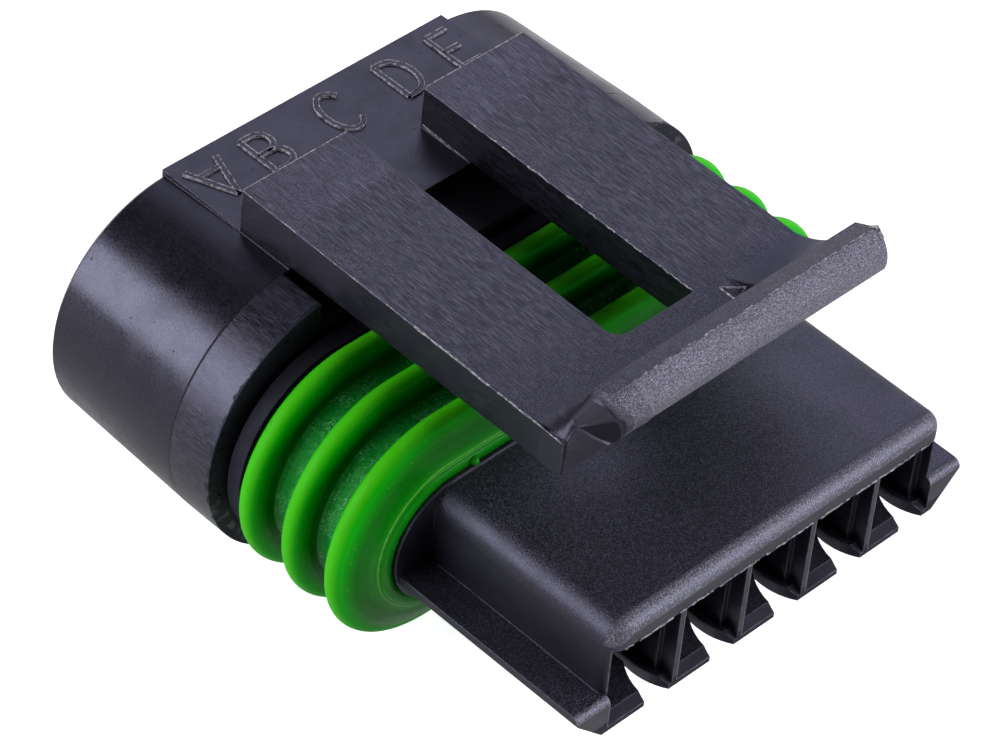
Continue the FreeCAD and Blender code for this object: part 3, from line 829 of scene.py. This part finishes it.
# Each line of dashes: step, share of gaps, wander along each axis, way up, width and height
flash = {
    "ridgeY": 4.10, "ridgeZ": 15.05, "ridgeX": (-6.3, 8.3), "ridgeShift": (0.05, -0.03),
    "ridge": (0.16, 0.13, (0.02, 0.03, 0.015), (0, -0.3, 1), 0.11, 0.05),
    "spike": [(0.0, 0.3, -0.12), (0.03, 0.0, 0.05), (0.02, -0.45, -0.35)],
    "spikeLook": ((0.5, -0.2, 1), 0.12, 0.10),
    "noseTop": 4.72, "noseHalf": 9.5, "nose": (0.20, 0.05, (0.03, 0.0, 0.04), (0, -1, 0), 0.12, 0.04),
    "armSide": -8.45, "armTopRear": 12.03, "armTopFront": 11.68, "armRear": 25.3, "armFront": 5.6,
    "leftY": (14.5, 5.7), "left": (0.25, 0.06, (0.015, 0.0, 0.015), (-1, 0, 1), 0.09, 0.03),
    "rearY": (25.2, 15.0), "rear": (0.3, 0.35, (0.01, 0.0, 0.01), (-1, 0, 1), 0.05, 0.015),
    "windowSide": 2.32, "windowY": (22.5, 8.7),
    "window": (0.2, 0.22, (0.03, 0.0, 0.02), (-1, 0, 1), 0.07, 0.03),
    "foot": [[(25.2, 9.96), (22.3, 9.80)], [(25.1, 9.86), (22.6, 9.70)]],
    "footLook": ((-1, 0, 0), 0.06, 0.02),
    "rearInset": 0.03, "rearLook": ((0, 1, 1), 0.05, 0.015),
    "ribTopShine": [(3.35, 8.05, 11.74), (4.05, 7.15, 12.0), (3.35, 7.05, 11.74)],
    "ribTopShineSides": [(0, 1, 0.07, 0.03), (1, 2, 0.05, 0.02), (0, 2, 0.08, 0.03)],
    "ragged": 0.35, "seed": 7, "barSeed": 11,
}


# Thin rough flash left where the halves of the mould met, and bright lines along the latch's edges, partly
# wear and partly painted highlight
def buildFlash():
    v = flash
    dice = random.Random(v["seed"])
    fall = (v["armTopRear"] - v["armTopFront"]) / (v["armRear"] - v["armFront"])

    def armTop(y):
        return v["armTopFront"] + (y - v["armFront"]) * fall

    def dashes(start, end, look):
        step, gap, wander, up, width, height = look
        return [(path, up, width, height) for path in dashedPaths(start, end, step, gap, wander, dice)]

    def alongArm(x, ends, look):
        return dashes((x, ends[0], armTop(ends[0])), (x, ends[1], armTop(ends[1])), look)

    ridgeY, ridgeZ = v["ridgeY"] + v["ridgeShift"][0], v["ridgeZ"] + v["ridgeShift"][1]
    bars = dashes(*[(x, ridgeY, ridgeZ) for x in v["ridgeX"]], v["ridge"])
    spike = [(v["ridgeX"][1] + dx, v["ridgeY"] + dy, v["ridgeZ"] + dz) for dx, dy, dz in v["spike"]]
    bars.append((spike, *v["spikeLook"]))
    bars += dashes((-v["noseHalf"], 0.0, v["noseTop"]), (v["noseHalf"], 0.0, v["noseTop"]), v["nose"])
    bars += alongArm(v["armSide"], v["leftY"], v["left"])
    bars += alongArm(v["armSide"], v["rearY"], v["rear"])
    bars += alongArm(v["windowSide"], v["windowY"], v["window"])
    bars += [([(v["windowSide"], y, z) for y, z in line], *v["footLook"]) for line in v["foot"]]
    for left, right in ((v["armSide"], -v["windowSide"]), (v["windowSide"], -v["armSide"])):
        ends = (left + v["rearInset"], right - v["rearInset"])
        bars.append(([(x, v["armRear"], armTop(v["armRear"])) for x in ends], *v["rearLook"]))
    # The lit top edge of a small rib on the ramp: a painted highlight
    for first, last, width, height in v["ribTopShineSides"]:
        bars.append(([v["ribTopShine"][first], v["ribTopShine"][last]], (0, 0, 1), width, height))
    addBars("mouldFlashAndShine", bars, flashAndShineMaterial, ragged=v["ragged"], seed=v["barSeed"])


buildFlash()
print("flash built")

# Sections across the lip's left end: where each stands, how it leans, its outline as reach and height
lipEnd = {
    "low": 9.85, "middle": (5.6, 1.5), "start": 0.010, "skin": 0.045, "rows": 10, "parts": 4,
    "lumps": 0.045, "lumpScale": 1.6, "leastHeight": 0.03,
    "sections": [
        (-4.60, -0.344, [(5.55, 0.05), (3.35, 3.35), (3.48, 4.55), (4.10, 5.20), (5.30, 4.65), (6.00, 2.60),
                         (7.00, 1.84)]),
        (-4.64, -0.560, [(5.50, 0.05), (3.62, 3.22), (3.75, 4.35), (4.28, 4.88), (5.40, 4.35), (6.10, 2.52),
                         (7.05, 1.84)]),
        (-4.95, -0.600, [(5.48, 0.05), (4.05, 3.00), (4.16, 3.86), (4.63, 4.30), (5.55, 3.92), (6.20, 2.42),
                         (7.10, 1.84)]),
        (-5.40, -1.000, [(5.55, 0.05), (5.46, 2.35), (5.50, 2.47), (5.70, 2.56), (5.95, 2.50), (6.45, 2.15),
                         (7.15, 1.84)]),
        (-8.33, 0.0, [(5.55, 0.05), (5.52, 1.78), (5.56, 1.90), (5.70, 1.97), (5.95, 1.97), (6.45, 1.92),
                      (7.20, 1.86)]),
    ],
}


# A smooth curve through all the points
def smoothed(points, parts):
    result = []
    for index in range(len(points) - 1):
        before, first = points[max(index - 1, 0)], points[index]
        second, after = points[index + 1], points[min(index + 2, len(points) - 1)]
        for step in range(parts):
            t = step / parts
            spot = []
            for a, b, c, d in zip(before, first, second, after):
                bend, twist = 2 * a - 5 * b + 4 * c - d, 3 * b - a - 3 * c + d
                spot.append(0.5 * (2 * b + (c - a) * t + bend * t * t + twist * t ** 3))
            result.append(tuple(spot))
    result.append(points[-1])
    return result


# The lip runs out into the corner of the latch in one soft, lumpy skin
def buildLipEnd():
    v = lipEnd
    scale = v["lumpScale"]
    outlines = [(x, lean, smoothed(outline, v["parts"])) for x, lean, outline in v["sections"]]
    points, faces = [], []
    rows = 0
    for (xa, leanA, first), (xb, leanB, second) in zip(outlines, outlines[1:]):
        for row in range(v["rows"] + 1):
            share = row / v["rows"]
            away = min(1.0, rows / v["rows"])
            grow = v["start"] + (v["skin"] - v["start"]) * away
            for (ya, ha), (yb, hb) in zip(first, second):
                y, h = ya + (yb - ya) * share, ha + (hb - ha) * share
                x = (xa + leanA * ha) * (1 - share) + (xb + leanB * hb) * share
                out = Vector((y - v["middle"][0], h - v["middle"][1])).normalized()
                lump = v["lumps"] * abs(noise.noise(Vector((x * scale, y * scale, h * scale)))) * away
                y, h = y + out.x * (grow + lump), h + out.y * (grow + lump)
                points.append((x, y, max(h, v["leastHeight"]) + v["low"]))
            rows += 1
    across = len(outlines[0][2])
    for row in range(rows - 1):
        for step in range(across - 1):
            here = row * across + step
            faces.append((here, here + 1, here + across + 1, here + across))
    addMesh("lipEndSkin", points, faces, plasticMaterial)


buildLipEnd()
print("lip end built")

# Turns of the dots are in degrees round the seal's left end
sealMarks = {
    "nub": (-7.88, 11.02, 6.32), "nubRadius": 0.27, "nubBase": 0.8, "nubTall": 1.3, "nubBack": 0.12,
    "rings": 6, "around": 14,
    "flankY": 11.60, "flankRadius": 5.30, "dots": 150, "firstTurn": 80, "dotTurn": 1.35, "gap": 0.42,
    "dotLength": (0.4, 1.1), "radiusWander": (-0.02, 0.03), "yWander": (-0.02, 0.02),
    "dotLook": ((0, -1, 0.2), 0.07, 0.05), "ragged": 0.3, "seed": 5, "barSeed": 3,
}


# The small nub left by the gate on the seal's front face, and the dotted line round its first rib
def buildSealMarks():
    v = sealMarks
    dice = random.Random(v["seed"])
    points, faces = [], []
    rings, around = v["rings"], v["around"]
    px, py, pz = v["nub"]
    for ring in range(rings + 1):
        turn = math.pi * ring / (2 * rings)
        radius = v["nubRadius"] * math.cos(turn) * (1.0 if ring else v["nubBase"])
        y = py - v["nubRadius"] * v["nubTall"] * math.sin(turn)
        for step in range(around):
            angle = 2 * math.pi * step / around
            points.append((px + radius * math.cos(angle), y, pz + radius * math.sin(angle)))
    for ring in range(rings):
        here, there = ring * around, (ring + 1) * around
        for step in range(around):
            following = (step + 1) % around
            faces.append((here + step, here + following, there + following, there + step))
    points.append((px, py + v["nubBack"], pz))
    for step in range(around):
        faces.append((step, (step + 1) % around, len(points) - 1))
    addMesh("sealNub", points, faces, sealMaterial)
    bars = []
    straight = ringSeal["straight"]
    for index in range(v["dots"]):
        turn = math.radians(v["firstTurn"] + v["dotTurn"] * index)
        if dice.random() < v["gap"]:
            continue
        wide = math.radians(dice.uniform(*v["dotLength"]))
        radius = v["flankRadius"] + dice.uniform(*v["radiusWander"])
        path = [(-straight + radius * math.cos(t), v["flankY"] + dice.uniform(*v["yWander"]),
                 axisZ + radius * math.sin(t)) for t in (turn, turn + wide / 2, turn + wide)]
        bars.append((path, *v["dotLook"]))
    addBars("sealFlash", bars, sealFlashMaterial, ragged=v["ragged"], seed=v["barSeed"])


buildSealMarks()
print("seal marks built")

# Stage, light and camera
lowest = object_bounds()[0].z
stage = {"floorColour": (0.80, 0.80, 0.80, 1), "glow": 0.78, "mirrored": 0.16, "size": 1.6,
         "sky": (1, 1, 1, 1), "skyStrength": 1.0, "fill": (0.95, 0.97, 1.0, 1), "fillStrength": 0.01}


# One where the camera sees the background straight, less in gloss and through glass, none for plain light
def seenShare(tree):
    path = tree.nodes.new("ShaderNodeLightPath").outputs
    mirrored = calc(tree, "ADD", path["Is Glossy Ray"], path["Is Transmission Ray"], clamp=True)
    return most(tree, path["Is Camera Ray"], times(tree, mirrored, stage["mirrored"]))


def buildStage():
    half = stage["size"] / 2
    corners = [(-half, -half, lowest), (half, -half, lowest), (half, half, lowest), (-half, half, lowest)]
    mesh = bpy.data.meshes.new("floor")
    mesh.from_pydata(corners, [], [(0, 1, 2, 3)])
    floor = bpy.data.objects.new("floor", mesh)
    scene.collection.objects.link(floor)
    material = bpy.data.materials.new("floorPaper")
    material.use_nodes = True
    tree = material.node_tree
    tree.nodes.clear()
    paper = addNode(tree, "ShaderNodeBsdfDiffuse", {0: stage["floorColour"]})
    glow = addNode(tree, "ShaderNodeEmission", {"Strength": times(tree, seenShare(tree), stage["glow"])})
    both = addNode(tree, "ShaderNodeAddShader", {0: paper.outputs[0], 1: glow.outputs[0]})
    addNode(tree, "ShaderNodeOutputMaterial", {0: both.outputs[0]})
    mesh.materials.append(material)


def buildWorld():
    world = bpy.data.worlds.new("studio")
    world.use_nodes = True
    scene.world = world
    tree = world.node_tree
    tree.nodes.clear()
    sky = addNode(tree, "ShaderNodeBackground", {"Color": stage["sky"], "Strength": stage["skyStrength"]})
    fill = addNode(tree, "ShaderNodeBackground", {"Color": stage["fill"], "Strength": stage["fillStrength"]})
    choose = addNode(tree, "ShaderNodeMixShader", {0: seenShare(tree), 1: fill.outputs[0], 2: sky.outputs[0]})
    addNode(tree, "ShaderNodeOutputWorld", {0: choose.outputs[0]})


buildStage()
buildWorld()

# Sizes and distances of the lamps are in metres
aim = (0, 0.012, 0.003)
lamps = {
    "leftBox": {"towards": (-0.78, 0.46, 0.36), "distance": 0.45, "size": (0.38, 0.24), "watts": 2.2},
    "backRight": {"towards": (0.63, 0.49, 0.60), "distance": 0.50, "size": (0.40, 0.40), "watts": 1.02,
                  "colour": (0.84, 0.83, 1.0)},
    "frontRight": {"towards": (0.52, -0.74, 0.38), "distance": 0.45, "size": (0.40, 0.26), "watts": 2.4},
    "overCamera": {"towards": (-0.35, -0.55, 0.76), "distance": 0.60, "size": (0.40, 0.40), "watts": 0.05},
}


def buildLamps():
    for name, values in lamps.items():
        light = bpy.data.lights.new(name, "AREA")
        light.shape = "RECTANGLE"
        light.size, light.size_y = values["size"]
        light.energy = values["watts"]
        light.color = values.get("colour", (1, 1, 1))
        lamp = bpy.data.objects.new(name, light)
        scene.collection.objects.link(lamp)
        direction = Vector(values["towards"]).normalized()
        lamp.location = Vector(aim) + direction * values["distance"]
        lamp.rotation_mode = "QUATERNION"
        lamp.rotation_quaternion = direction.to_track_quat("Z", "Y")


buildLamps()

# The photograph's viewpoint: angles in degrees, lens and sensor in millimetres, clip in metres
cameraSet = {"azimuth": -48.2333, "elevation": 43.4921, "roll": 5.9411, "lens": 170.43, "sensor": 36,
             "target": (0, 10, 5), "across": 5.0696, "up": -1.6885, "distance": 205.2214,
             "shift": (-0.00015, -0.0027), "clip": (0.01, 10)}


def buildCamera():
    v = cameraSet
    a, e, r = (math.radians(v[key]) for key in ("azimuth", "elevation", "roll"))
    back = Vector((math.sin(a) * math.cos(e), -math.cos(a) * math.cos(e), math.sin(e)))
    level = Vector((math.cos(a), math.sin(a), 0))
    over = back.cross(level)
    right = level * math.cos(r) + over * math.sin(r)
    up = -level * math.sin(r) + over * math.cos(r)
    data = bpy.data.cameras.new("photoCamera")
    data.sensor_width = v["sensor"]
    data.lens = v["lens"]
    data.shift_x, data.shift_y = v["shift"]
    data.clip_start, data.clip_end = v["clip"]
    camera = bpy.data.objects.new("photoCamera", data)
    scene.collection.objects.link(camera)
    spot = (Vector(v["target"]) - right * v["across"] - up * v["up"] + back * v["distance"]) * mm
    turn = camera.matrix_world.copy()
    for row in range(3):
        turn[row][0], turn[row][1], turn[row][2], turn[row][3] = right[row], up[row], back[row], spot[row]
    camera.matrix_world = turn
    scene.camera = camera


buildCamera()
scene.view_settings.view_transform = "Standard"
print("stage, lamps and camera ready")
